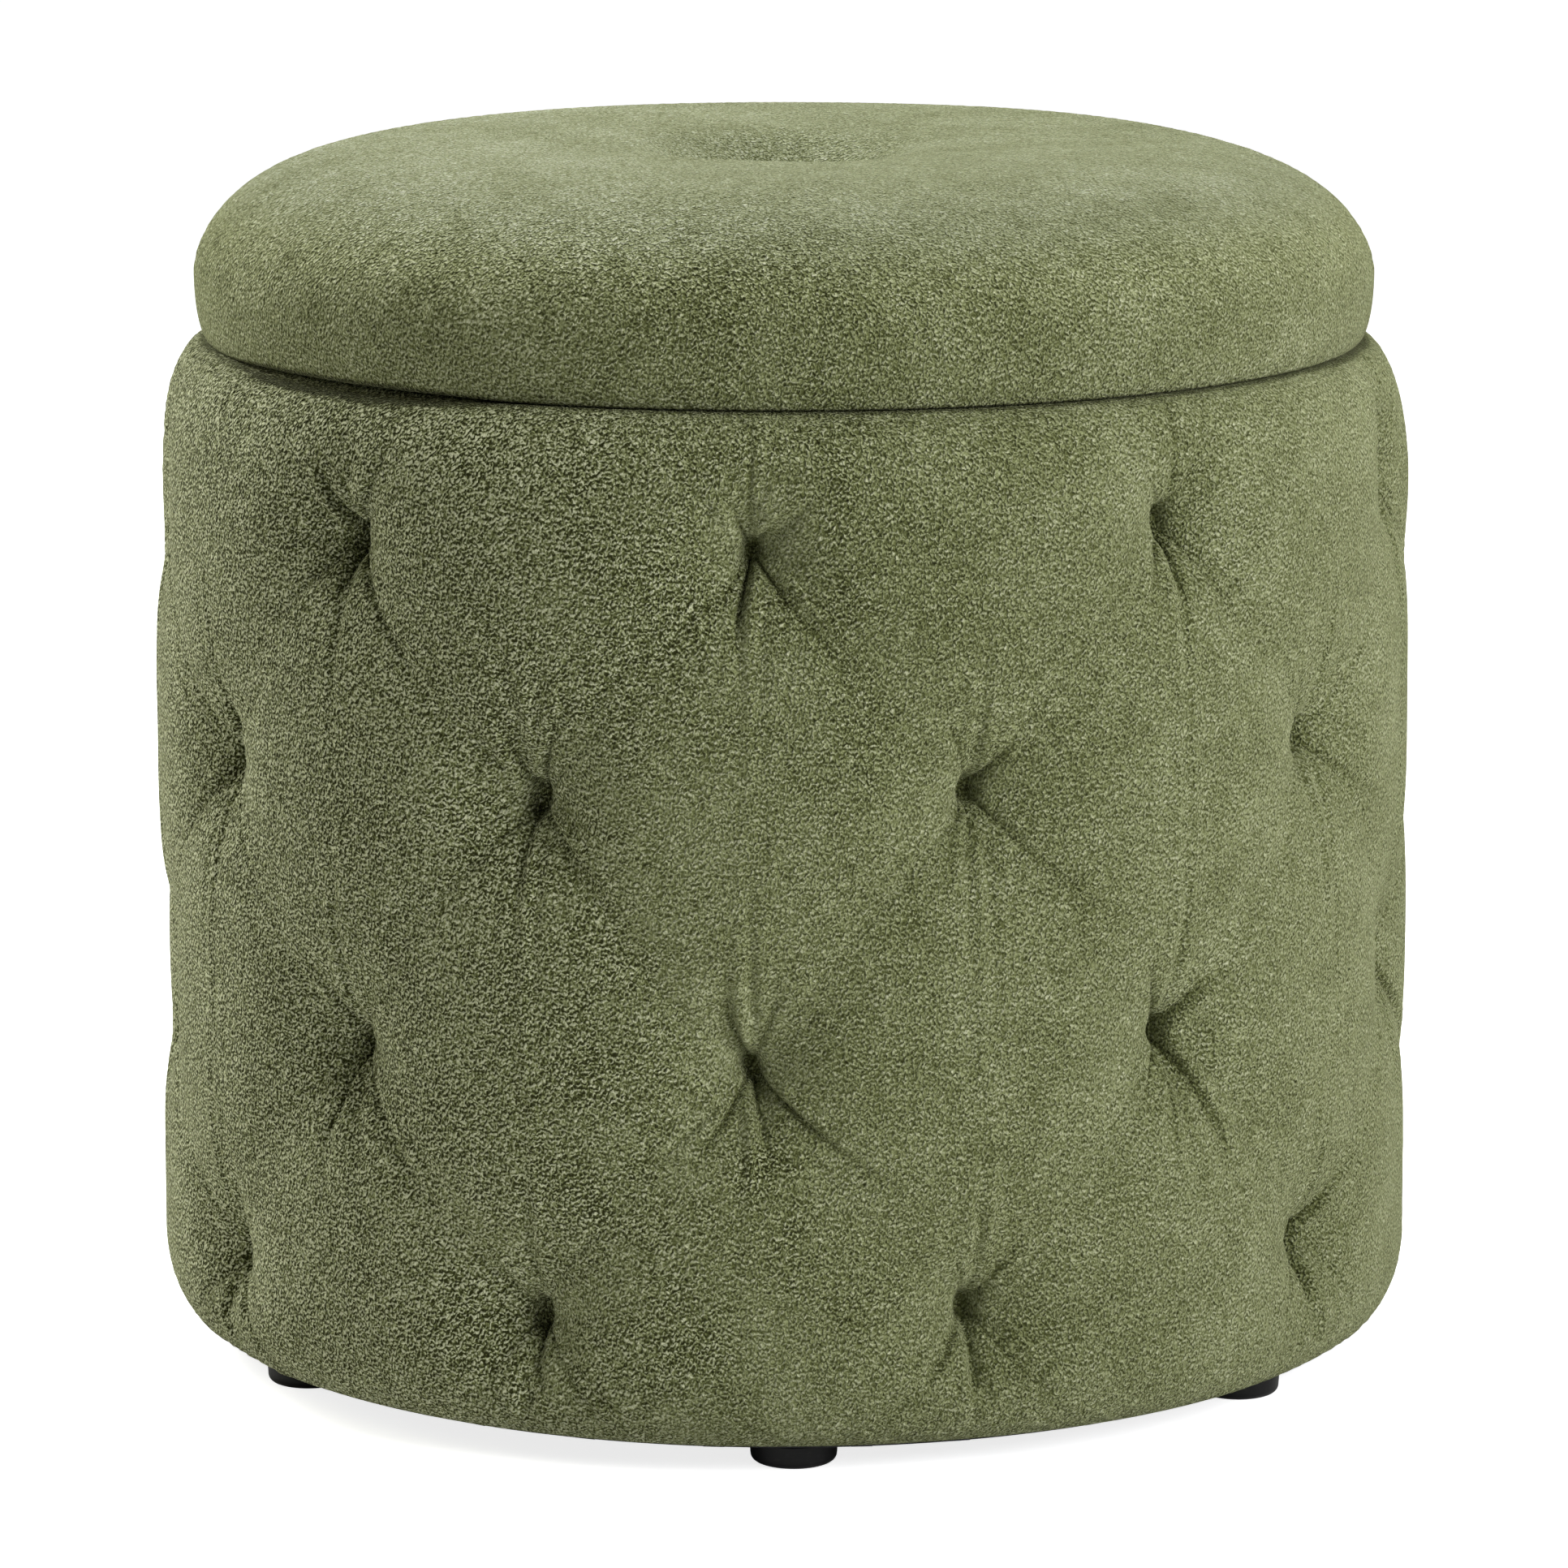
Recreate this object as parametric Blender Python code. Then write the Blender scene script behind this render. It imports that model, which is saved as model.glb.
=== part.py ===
"""Round storage ottoman: a foam-wrapped drum on low feet and a cushioned lid that lifts off.

Metres, +Z up, front towards -Y. The origin is on the floor, under the middle of the drum.
Every round piece is turned about the vertical axis from one outline of its section.
"""

import math

import bmesh
import bpy
from mathutils import Matrix, Vector

# ---- driving dimensions ------------------------------------------------------------------
BODY_R = 0.251          # drum, outside of the cover at its fullest
TOTAL_H = 0.484         # floor to the crown of the lid
FOOT_H = 0.010          # floor to the underside of the drum
SEAM_Z = 0.4056         # underside of the closed lid
LID_R = 0.235           # lid, outside of the cover at its fullest
CAVITY_R = 0.2024       # clear radius of the storage space

FLEECE_T = 0.002        # cover cloth, pile included
GAP = 0.0003            # air between neighbouring solids
SEGMENTS = 48           # facets round a large turned piece

# ---- drum section ------------------------------------------------------------------------
CORNER_RX, CORNER_RZ = 0.015, 0.021        # lower corner of the drum
SHOULDER_RX, SHOULDER_RZ = 0.022, 0.065    # soft upper shoulder
BASE_Z = FOOT_H + 0.0011                   # underside of the cover, above the dust cover
RIM_Z = SEAM_Z - GAP                       # top of the covered rim
TURN_UNDER_R = 0.195                       # inner edge of the cover under the base board
TURN_IN_Z = 0.3830                         # lower edge of the cover inside the rim

LINING_T = 0.001
PANEL_T = 0.002
SKIN_T = 0.003
SKIN_R = 0.2260                            # outside of the bent hardboard skin
BOARD_T = 0.012
RING_T = 0.015
PANEL_R = CAVITY_R + LINING_T + GAP        # inside of the cardboard inner panel
RING_INNER_R = PANEL_R + PANEL_T + GAP + FLEECE_T + 2 * GAP
FRAME_R = SKIN_R - SKIN_T - GAP            # outside of the boards and the ring
BOARD_Z = BASE_Z + FLEECE_T + GAP          # underside of the base board
BOARD_TOP = BOARD_Z + BOARD_T
RING_TOP = RIM_Z - FLEECE_T - GAP
RING_Z = RING_TOP - RING_T
LINING_TOP = RIM_Z - 0.0103

POSTS = 6
POST_DEPTH, POST_WIDTH = 0.0120, 0.030

FLOOR_CARD_T = 0.002
DUST_COVER_R, DUST_COVER_T = 0.2325, 0.0008

# ---- feet --------------------------------------------------------------------------------
FOOT_R = 0.017
FOOT_CIRCLE_R = 0.213
FOOT_ANGLES = (1, 57, 120, 180, 240, 298)  # degrees from the front, as screwed on by hand
SCREW_R, SCREW_HEAD_R, SCREW_HEAD_H = 0.0022, 0.0045, 0.0022
COUNTERBORE_DEPTH = 0.0055

# ---- lid section (heights above the lid's own underside) -----------------------------------
LID_CORNER_RX, LID_BELLY_Z = 0.006, 0.025
CROWN_SIDE_POWER, CROWN_TOP_POWER = 6.0, 1.8   # squareness of the crown's section
DISH_DEPTH, DISH_SPREAD, DISH_POWER = 0.028, 0.070, 1.25
DISH_LIFT = 0.0040                         # the dish still lowers the crown's ring by this much
CROWN_RISE = TOTAL_H + DISH_LIFT - SEAM_Z - LID_BELLY_Z
SHOULDER_STEPS, DISH_STEPS = 7, 5
LID_TURN_UNDER_R = 0.200
LID_BOARD_R = 0.2290
LID_BOARD_Z = FLEECE_T + GAP
PLUG_R, PLUG_T = 0.1960, 0.009
TIE_HOLE_R, TIE_R = 0.0016, 0.0010
WASHER_R, WASHER_T = 0.010, 0.0016
LID_SCREWS = 6
LID_SCREW_CIRCLE_R = 0.150

COLOURS = {
    # name: (linear colour, roughness, metallic)
    "fleece": ((0.160, 0.178, 0.090), 0.95, 0.0),
    "foam": ((0.80, 0.74, 0.55), 0.90, 0.0),
    "plywood": ((0.55, 0.38, 0.21), 0.70, 0.0),
    "hardboard": ((0.20, 0.11, 0.055), 0.65, 0.0),
    "pine": ((0.64, 0.46, 0.26), 0.70, 0.0),
    "card": ((0.36, 0.32, 0.26), 0.85, 0.0),
    "lining": ((0.030, 0.030, 0.032), 0.90, 0.0),
    "foot_plastic": ((0.012, 0.012, 0.012), 0.45, 0.0),
    "screw_steel": ((0.55, 0.55, 0.56), 0.35, 1.0),
    "twine": ((0.50, 0.46, 0.36), 0.85, 0.0),
}


def clear_scene():
    for obj in list(bpy.data.objects):
        bpy.data.objects.remove(obj, do_unlink=True)


def material(name):
    found = bpy.data.materials.get(name)
    if found:
        return found
    colour, roughness, metallic = COLOURS[name]
    made = bpy.data.materials.new(name)
    made.use_nodes = True
    shader = made.node_tree.nodes["Principled BSDF"]
    shader.inputs["Base Color"].default_value = (*colour, 1.0)
    shader.inputs["Roughness"].default_value = roughness
    shader.inputs["Metallic"].default_value = metallic
    return made


def frame_empty(name, height):
    empty = bpy.data.objects.new(name, None)
    empty.location = (0.0, 0.0, height)
    bpy.context.collection.objects.link(empty)
    return empty


def place(name, mesh, slot, parent, location=(0.0, 0.0, 0.0), turn=0.0):
    """One named sub-part with its own material, placed under its body's empty."""
    obj = bpy.data.objects.new(name, mesh)
    if slot not in mesh.materials:
        mesh.materials.append(material(slot))
    obj.location = location
    obj.rotation_euler = (0.0, 0.0, turn)
    obj.parent = parent
    bpy.context.collection.objects.link(obj)
    return obj


def mesh_from(bm, name):
    bmesh.ops.recalc_face_normals(bm, faces=bm.faces)
    mesh = bpy.data.meshes.new(name)
    bm.to_mesh(mesh)
    bm.free()
    mesh.shade_smooth()
    mesh.set_sharp_from_angle(angle=math.radians(35))
    return mesh


def turned(name, outline, segments=SEGMENTS):
    """Spin a section of (radius, height) points; a section off the axis is closed on itself."""
    bm = bmesh.new()
    verts = [bm.verts.new((radius, 0.0, height)) for radius, height in outline]
    edges = [bm.edges.new(pair) for pair in zip(verts, verts[1:])]
    if outline[0][0] > 0.0:
        edges.append(bm.edges.new((verts[-1], verts[0])))
    bmesh.ops.spin(bm, geom=verts + edges, cent=(0, 0, 0), axis=(0, 0, 1),
                   angle=2 * math.pi, steps=segments, use_duplicate=False)
    bmesh.ops.remove_doubles(bm, verts=bm.verts, dist=1e-6)
    return mesh_from(bm, name)


def disc(radius, low, high):
    return [(0.0, low), (radius, low), (radius, high), (0.0, high)]


def tube(inner, outer, low, high):
    return [(inner, low), (outer, low), (outer, high), (inner, high)]


def screw(head_top, tip):
    """A pan-head screw pointing up, its head just under head_top."""
    head_low = head_top - SCREW_HEAD_H
    return [(0.0, head_low), (SCREW_HEAD_R, head_low), (SCREW_HEAD_R, head_top),
            (SCREW_R, head_top), (SCREW_R, tip), (0.0, tip)]


def arc(centre, radii, start, end, steps):
    """Points on an elliptical arc, angles in degrees."""
    points = []
    for step in range(steps + 1):
        angle = math.radians(start + (end - start) * step / steps)
        points.append((centre[0] + radii[0] * math.cos(angle),
                       centre[1] + radii[1] * math.sin(angle)))
    return points


def on_circle(radius, degrees):
    """A point on a circle round the axis; 0 degrees is the front, positive towards +X."""
    angle = math.radians(degrees)
    return Vector((radius * math.sin(angle), -radius * math.cos(angle), 0.0))


def foot_centres():
    return [on_circle(FOOT_CIRCLE_R, angle) for angle in FOOT_ANGLES]


def drill(obj, name, centres, radius, low, high):
    """Cut round holes through a piece; centres are in the piece's own frame."""
    bm = bmesh.new()
    for centre in centres:
        middle = Vector((centre.x, centre.y, (low + high) / 2))
        bmesh.ops.create_cone(bm, cap_ends=True, segments=10, radius1=radius, radius2=radius,
                              depth=high - low, matrix=Matrix.Translation(middle))
    mesh = bpy.data.meshes.new(name)
    bm.to_mesh(mesh)
    bm.free()
    cutter = bpy.data.objects.new(name, mesh)
    cutter.hide_render = True
    cutter.display_type = "WIRE"
    cutter.parent = obj
    bpy.context.collection.objects.link(cutter)
    cut = obj.modifiers.new("drill", "BOOLEAN")
    cut.operation = "DIFFERENCE"
    cut.solver = "EXACT"
    cut.object = cutter


# ---- sections of the soft pieces -----------------------------------------------------------
def drum_side(inset):
    """Outside of the drum from its flat underside to its flat rim, moved in by inset."""
    corner = arc((BODY_R - CORNER_RX, BASE_Z + CORNER_RZ),
                 (CORNER_RX - inset, CORNER_RZ - inset), -90, 0, 3)
    shoulder = arc((BODY_R - SHOULDER_RX, RIM_Z - SHOULDER_RZ),
                   (SHOULDER_RX - inset, SHOULDER_RZ - inset), 0, 90, 4)
    return corner + shoulder


def drum_cover_outline():
    inner = RING_INNER_R - GAP - FLEECE_T
    outside = [(TURN_UNDER_R, BASE_Z)] + drum_side(0.0)
    outside += [(inner, RIM_Z), (inner, TURN_IN_Z)]
    inside = [(TURN_UNDER_R, BASE_Z + FLEECE_T)] + drum_side(FLEECE_T)
    inside += [(inner + FLEECE_T, RIM_Z - FLEECE_T), (inner + FLEECE_T, TURN_IN_Z)]
    return outside + inside[::-1]


def drum_foam_outline():
    skin_side = SKIN_R + GAP
    inset = FLEECE_T + GAP
    return [(skin_side, BASE_Z + inset)] + drum_side(inset) + [(skin_side, RIM_Z - inset)]


def crown_height(radius, inset):
    """Height of the cushion above its underside: a flat-topped crown pulled down at the middle."""
    reach = min(radius / (LID_R - inset), 1.0)
    rise = (1.0 - reach ** CROWN_SIDE_POWER) ** (1 / CROWN_TOP_POWER)
    dish = DISH_DEPTH * math.exp(-(radius / DISH_SPREAD) ** DISH_POWER)
    return LID_BELLY_Z + (CROWN_RISE - inset) * rise - dish


def lid_side(inset):
    """Outside of the lid cushion from its flat underside to the tie at its middle."""
    lower = arc((LID_R - LID_CORNER_RX, LID_BELLY_Z),
                (LID_CORNER_RX - inset, LID_BELLY_Z - inset), -90, 0, 3)
    radii = []
    for step in range(1, SHOULDER_STEPS):
        angle = 0.5 * math.pi * step / SHOULDER_STEPS
        radii.append((LID_R - inset) * math.cos(angle) ** (2 / CROWN_SIDE_POWER))
    inner_edge = radii[-1]
    for step in range(1, DISH_STEPS + 1):
        radii.append(inner_edge + (TIE_HOLE_R - inner_edge) * step / DISH_STEPS)
    return lower + [(radius, crown_height(radius, inset)) for radius in radii]


def lid_cover_outline():
    outside = [(LID_TURN_UNDER_R, 0.0)] + lid_side(0.0)
    inside = [(LID_TURN_UNDER_R, FLEECE_T)] + lid_side(FLEECE_T)
    return outside + inside[::-1]


def lid_foam_outline():
    inset = FLEECE_T + GAP
    board_edge = LID_BOARD_R + GAP
    board_top = LID_BOARD_Z + BOARD_T + GAP
    return ([(board_edge, inset)] + lid_side(inset)
            + [(TIE_HOLE_R, board_top), (board_edge, board_top)])


# ---- pieces of the drum --------------------------------------------------------------------
def build_frame(base):
    board = place("base_board", turned("base_board", disc(FRAME_R, BOARD_Z, BOARD_TOP)),
                  "plywood", base)
    drill(board, "cut_base_board", foot_centres(), SCREW_R + GAP, BOARD_Z - GAP, BOARD_TOP + GAP)

    ring = tube(RING_INNER_R, FRAME_R, RING_Z, RING_TOP)
    place("top_ring", turned("top_ring", ring), "plywood", base)
    skin = tube(SKIN_R - SKIN_T, SKIN_R, BOARD_Z, RING_TOP)
    place("drum_skin", turned("drum_skin", skin), "hardboard", base)

    low, high = BOARD_TOP + GAP, RING_Z - GAP
    outer_face = math.sqrt(FRAME_R ** 2 - (POST_WIDTH / 2) ** 2) - 2 * GAP
    for index in range(POSTS):
        bm = bmesh.new()
        bmesh.ops.create_cube(bm, size=1.0)
        bmesh.ops.scale(bm, verts=bm.verts, vec=(POST_WIDTH, POST_DEPTH, high - low))
        middle = Vector((0.0, -(outer_face - POST_DEPTH / 2), (high + low) / 2))
        bmesh.ops.translate(bm, verts=bm.verts, vec=middle)
        place(f"post_{index + 1}", mesh_from(bm, f"post_{index + 1}"), "pine", base,
              turn=math.radians(360 / POSTS * (index + 0.5)))


def build_wrap(base):
    place("foam_wrap", turned("foam_wrap", drum_foam_outline()), "foam", base)
    cover = place("drum_cover", turned("drum_cover", drum_cover_outline()), "fleece", base)
    drill(cover, "cut_drum_cover", foot_centres(), SCREW_R + GAP, FOOT_H, BOARD_Z)


def build_lining(base):
    panel = tube(PANEL_R, PANEL_R + PANEL_T, BOARD_TOP + GAP, LINING_TOP)
    place("inner_panel", turned("inner_panel", panel), "card", base)
    floor_top = BOARD_TOP + GAP + FLOOR_CARD_T
    place("floor_card", turned("floor_card", disc(CAVITY_R - GAP, BOARD_TOP + GAP, floor_top)),
          "card", base)
    wall = tube(CAVITY_R, CAVITY_R + LINING_T, BOARD_TOP + GAP, LINING_TOP)
    place("wall_lining", turned("wall_lining", wall), "lining", base)
    low = floor_top + GAP
    place("floor_lining", turned("floor_lining", disc(CAVITY_R - GAP, low, low + LINING_T)),
          "lining", base)


def build_underside(base):
    sheet = disc(DUST_COVER_R, FOOT_H, FOOT_H + DUST_COVER_T)
    cloth = place("dust_cover", turned("dust_cover", sheet), "lining", base)
    drill(cloth, "cut_dust_cover", foot_centres(), SCREW_R + GAP, FOOT_H - GAP, BASE_Z)

    hole = SCREW_R + GAP
    well = SCREW_HEAD_R + GAP
    top = FOOT_H - GAP
    foot_outline = [(hole, COUNTERBORE_DEPTH), (well, COUNTERBORE_DEPTH), (well, 0.0),
                    (FOOT_R - 0.0020, 0.0), (FOOT_R - 0.0004, 0.0015),
                    (FOOT_R, top), (hole, top)]
    screw_outline = screw(COUNTERBORE_DEPTH - GAP, BOARD_TOP - 0.001)
    for index, centre in enumerate(foot_centres()):
        foot = turned(f"foot_{index + 1}", foot_outline, segments=20)
        place(f"foot_{index + 1}", foot, "foot_plastic", base, location=centre)
        fixing = turned(f"foot_screw_{index + 1}", screw_outline, segments=8)
        place(f"foot_screw_{index + 1}", fixing, "screw_steel", base, location=centre)


# ---- pieces of the lid, in the lid's own frame ---------------------------------------------
def build_lid(lid):
    board_top = LID_BOARD_Z + BOARD_T
    plug_top = LID_BOARD_Z - GAP
    plug_low = plug_top - PLUG_T
    liner_low = plug_low - GAP - LINING_T
    screw_centres = [on_circle(LID_SCREW_CIRCLE_R, 360 / LID_SCREWS * (index + 0.5))
                     for index in range(LID_SCREWS)]
    clear = SCREW_R + GAP

    board = tube(TIE_HOLE_R, LID_BOARD_R, LID_BOARD_Z, board_top)
    board = place("lid_board", turned("lid_board", board), "plywood", lid)
    drill(board, "cut_lid_board", screw_centres, clear, LID_BOARD_Z - GAP, board_top + GAP)

    plug = tube(WASHER_R + 0.002, PLUG_R, plug_low, plug_top)
    plug = place("locating_disc", turned("locating_disc", plug), "plywood", lid)
    drill(plug, "cut_locating_disc", screw_centres, clear, plug_low - GAP, plug_top + GAP)

    rim = PLUG_R + GAP
    liner = [(0.0, liner_low), (rim + LINING_T, liner_low), (rim + LINING_T, plug_top - GAP),
             (rim, plug_top - GAP), (rim, plug_low - GAP), (0.0, plug_low - GAP)]
    liner = place("lid_liner", turned("lid_liner", liner), "lining", lid)
    drill(liner, "cut_lid_liner", screw_centres, clear, liner_low - GAP, plug_low)

    screw_outline = screw(liner_low - GAP, board_top - 0.002)
    for index, centre in enumerate(screw_centres):
        fixing = turned(f"lid_screw_{index + 1}", screw_outline, segments=8)
        place(f"lid_screw_{index + 1}", fixing, "screw_steel", lid, location=centre)

    place("lid_foam", turned("lid_foam", lid_foam_outline()), "foam", lid)
    place("lid_cover", turned("lid_cover", lid_cover_outline()), "fleece", lid)

    washer_top = LID_BOARD_Z - GAP
    washer = tube(TIE_HOLE_R, WASHER_R, washer_top - WASHER_T, washer_top)
    place("tie_washer", turned("tie_washer", washer, segments=16), "screw_steel", lid)
    knot_r = 2.5 * TIE_R
    stitch_z = crown_height(TIE_HOLE_R, 0.0) + GAP
    knot_z = washer_top - WASHER_T - GAP
    tie = [(0.0, knot_z - knot_r), (knot_r, knot_z - knot_r), (knot_r, knot_z), (TIE_R, knot_z),
           (TIE_R, stitch_z), (knot_r, stitch_z), (knot_r, stitch_z + TIE_R),
           (0.0, stitch_z + 2 * TIE_R)]
    place("tuft_tie", turned("tuft_tie", tie, segments=8), "twine", lid)


def main():
    clear_scene()
    base = frame_empty("base", 0.0)
    lid = frame_empty("lid", SEAM_Z)
    build_frame(base)
    build_wrap(base)
    build_lining(base)
    build_underside(base)
    build_lid(lid)


main()
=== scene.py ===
"""Round tufted storage ottoman in sage fleece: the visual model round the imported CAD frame.

Metres, +Z up, front towards -Y. Angles round the axis start at the front and grow towards +X.
The soft pieces are grids of points, azimuth by section, relaxed by Cloth and then detailed.
"""
import math

import bpy
import numpy as np
from mathutils import Matrix, Vector


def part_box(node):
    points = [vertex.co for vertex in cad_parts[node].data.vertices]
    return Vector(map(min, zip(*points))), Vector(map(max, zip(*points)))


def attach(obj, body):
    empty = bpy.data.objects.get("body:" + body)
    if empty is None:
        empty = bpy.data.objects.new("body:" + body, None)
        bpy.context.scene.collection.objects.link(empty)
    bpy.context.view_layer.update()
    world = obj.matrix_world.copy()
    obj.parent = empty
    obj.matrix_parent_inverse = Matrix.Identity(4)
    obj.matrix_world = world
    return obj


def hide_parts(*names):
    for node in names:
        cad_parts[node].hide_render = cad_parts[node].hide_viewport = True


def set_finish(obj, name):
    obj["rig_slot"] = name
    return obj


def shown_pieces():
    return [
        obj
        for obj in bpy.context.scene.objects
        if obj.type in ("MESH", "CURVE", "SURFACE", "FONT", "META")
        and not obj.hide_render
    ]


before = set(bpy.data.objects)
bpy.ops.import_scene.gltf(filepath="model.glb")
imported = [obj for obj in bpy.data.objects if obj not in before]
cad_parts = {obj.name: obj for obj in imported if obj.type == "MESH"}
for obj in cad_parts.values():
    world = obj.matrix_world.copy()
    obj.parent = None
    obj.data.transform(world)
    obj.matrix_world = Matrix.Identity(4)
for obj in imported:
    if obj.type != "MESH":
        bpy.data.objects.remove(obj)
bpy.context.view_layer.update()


# ---- sizes read from the frame -------------------------------------------------------------------
def extent(node):
    """(outer radius, lowest z, highest z) of a turned CAD node."""
    low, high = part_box(node)
    return high[0], low[2], high[2]


DRUM_R, BASE_Z, RIM_Z = extent("drum_cover")
LID_R, LID_Z, LID_TOP = extent("lid_cover")
SKIN_R = extent("drum_skin")[0]
RING_R = extent("top_ring")[0]
LINER_R, LINER_LOW = extent("lid_liner")[:2]
LID_BOARD_R, LID_BOARD_LOW, LID_BOARD_TOP = extent("lid_board")
WALL_R, WALL_LOW, WALL_TOP = extent("wall_lining")
DUST_R, DUST_LOW = extent("dust_cover")[:2]
FEET = sorted(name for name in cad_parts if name.startswith("foot_") and "screw" not in name)

# ---- sizes of the upholstery ---------------------------------------------------------------------
CLOTH_T = 0.002                             # fleece with its pile
GAP = 0.0003                                # air between the cloth and what it covers

CORNER_RX, CORNER_RZ = 0.018, 0.033         # lower corner of the drum
SHOULDER_RX, SHOULDER_RZ = 0.022, 0.065     # soft upper shoulder
FOAM_SWELL = 0.0012                         # how far the foam plumps the drum between its tufts
TURN_UNDER_R = 0.195                        # inner edge of the cover under the base board
RIM_INNER_R = 0.2063                        # cover on the inside of the rim
TURN_IN_Z = 0.383                           # its lower edge there
RIM_ROUND = 0.004                           # radius of the rim's inner edge

TUFT_ROWS = (0.355, 0.260, 0.158, 0.060)    # heights of the four rows of tufts
TUFT_COLUMNS = 9
TUFT_TURN = -3.0                            # degrees: the rows start a little left of the front
TUFT_TILT = 0.006                           # the rows were set this much higher on the right
TUFT_DEPTH, TUFT_SPREAD = 0.018, 0.020      # the broad dip that each tie pulls
PIT_DEPTH, PIT_WIDTH = 0.012, 0.0036        # the narrow cavity at the tie
HOLLOW_DEPTH, HOLLOW_WIDTH = 0.0030, 0.012  # and the bowl round it
FOLD_WIDTH = 0.0012
FOLDS = ((60, 0.046, 0.0062), (118, 0.046, 0.0062), (-91, 0.046, 0.0066),
         (-50, 0.090, 0.0044), (-128, 0.050, 0.0036))   # degrees from right, length, depth
VALLEY_DEPTH, VALLEY_WIDTH = 0.0021, 0.017  # the diagonal dips between tufts
LINE_DEPTH, LINE_WIDTH = 0.0009, 0.0014     # and the fine creases along some of them

LID_CORNER_RX, LID_BELLY_Z = 0.006, 0.025
CROWN_SIDE_POWER, CROWN_TOP_POWER = 6.0, 1.8
CROWN_LIFT = 0.0012                         # the crown's extra height; dish and funnel take it back
DISH_DEPTH, DISH_SPREAD, DISH_POWER = 0.021, 0.042, 3.4    # the bowl that the lid's tie pulls
FUNNEL_DEPTH, FUNNEL_SPREAD = 0.006, 0.095  # and the wider hollow round it
LID_TURN_UNDER_R = 0.200
TIE_HOLE_R = 0.0026

# The lid sits a little proud at the left: rim and lid edge stand this far apart there.
SEAM_GAP, GAP_TURN, GAP_WIDTH = 0.0034, math.radians(-47), math.radians(17)
RIM_SHARE, LID_SHARE = 0.75, 0.3            # how much of it each of the two gives way
# Painted shade in the seam: from this far inside the lid's edge on the rim, and this far up the
# lid's edge. Where the lid stands off, the painted band on each is wider by the second amount.
RIM_SHADE, LID_SHADE = (0.0022, 0.0026), (0.0012, 0.0018)

rng = np.random.default_rng(41)


# ---- outlines and grids --------------------------------------------------------------------------
def arc(centre, radii, start, end, steps=24):
    """Points on an elliptical arc, angles in degrees."""
    turn = np.radians(np.linspace(start, end, steps + 1))
    return np.stack([centre[0] + radii[0] * np.cos(turn), centre[1] + radii[1] * np.sin(turn)], -1)


def spaced(outline, count, crowd=None):
    """count points along an outline; crowd(t) warps 0..1 where more rows are wanted."""
    outline = np.asarray(outline, float)
    steps = np.hypot(*np.diff(outline, axis=0).T)
    along = np.concatenate([[0.0], np.cumsum(steps)])
    t = np.linspace(0.0, 1.0, count)
    t = (t if crowd is None else crowd(t)) * along[-1]
    return np.stack([np.interp(t, along, outline[:, k]) for k in (0, 1)], -1)


def drum_outline():
    corner = arc((DRUM_R - CORNER_RX, BASE_Z + CORNER_RZ), (CORNER_RX, CORNER_RZ), -90, 0)
    shoulder = arc((DRUM_R - SHOULDER_RX, RIM_Z - SHOULDER_RZ), (SHOULDER_RX, SHOULDER_RZ), 0, 90)
    return np.concatenate([corner, shoulder])


def crown_height(radius):
    """Height of the lid cushion above its underside: a full crown pulled down at the middle."""
    rise = (1.0 - np.clip(radius / LID_R, 0, 1) ** CROWN_SIDE_POWER) ** (1 / CROWN_TOP_POWER)
    dish = DISH_DEPTH * np.exp(-(radius / DISH_SPREAD) ** DISH_POWER)
    funnel = FUNNEL_DEPTH * np.exp(-(radius / FUNNEL_SPREAD) ** 2)
    crown = LID_TOP + CROWN_LIFT - LID_Z - LID_BELLY_Z
    return LID_BELLY_Z + crown * rise - dish - funnel


def lid_outline():
    lower = arc((LID_R - LID_CORNER_RX, LID_Z + LID_BELLY_Z), (LID_CORNER_RX, LID_BELLY_Z), -90, 0)
    turn = np.linspace(0.0, 0.5 * math.pi, 160)[1:]
    radius = LID_R * np.cos(turn) ** (2 / CROWN_SIDE_POWER)
    radius = np.concatenate([radius[radius > 0.15], np.linspace(0.15, TIE_HOLE_R, 90)])
    return np.concatenate([lower, np.stack([radius, LID_Z + crown_height(radius)], -1)])


def azimuths(count, crowd=0.0, lobes=18, start=0.0):
    """Angles round the axis, crowded towards start and every further 1/lobes of a turn."""
    turn = np.arange(count) / count * 2 * math.pi
    return turn - crowd / lobes * np.sin(lobes * (turn - start))


def swept(section, turn):
    """Cylindrical grid (azimuth, radius, height), one row for each point of the section."""
    shape = (len(section), len(turn))
    return np.stack([np.broadcast_to(turn, shape), np.broadcast_to(section[:, :1], shape),
                     np.broadcast_to(section[:, 1:], shape)], -1).copy()


def to_xyz(grid):
    turn, radius, height = np.moveaxis(grid, -1, 0)
    return np.stack([radius * np.sin(turn), -radius * np.cos(turn), height], -1)


def grid_faces(rows, columns, closed):
    """Quads over a grid that wraps round the axis, and round its section too where closed."""
    row, column = np.meshgrid(np.arange(rows if closed else rows - 1), np.arange(columns),
                              indexing="ij")
    row, column = row.ravel(), column.ravel()
    above, right = (row + 1) % rows, (column + 1) % columns
    return np.stack([row * columns + column, row * columns + right,
                     above * columns + right, above * columns + column], -1)


def mesh_object(name, points, faces, smooth=True):
    mesh = bpy.data.meshes.new(name)
    mesh.from_pydata(points.reshape(-1, 3).tolist(), [], [list(map(int, f)) for f in faces])
    if smooth:
        mesh.shade_smooth()
    obj = bpy.data.objects.new(name, mesh)
    bpy.context.collection.objects.link(obj)
    return obj


def ring_solid(name, grid):
    """A closed solid from a grid whose section comes back to where it starts."""
    return mesh_object(name, to_xyz(grid), grid_faces(*grid.shape[:2], closed=True))


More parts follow.
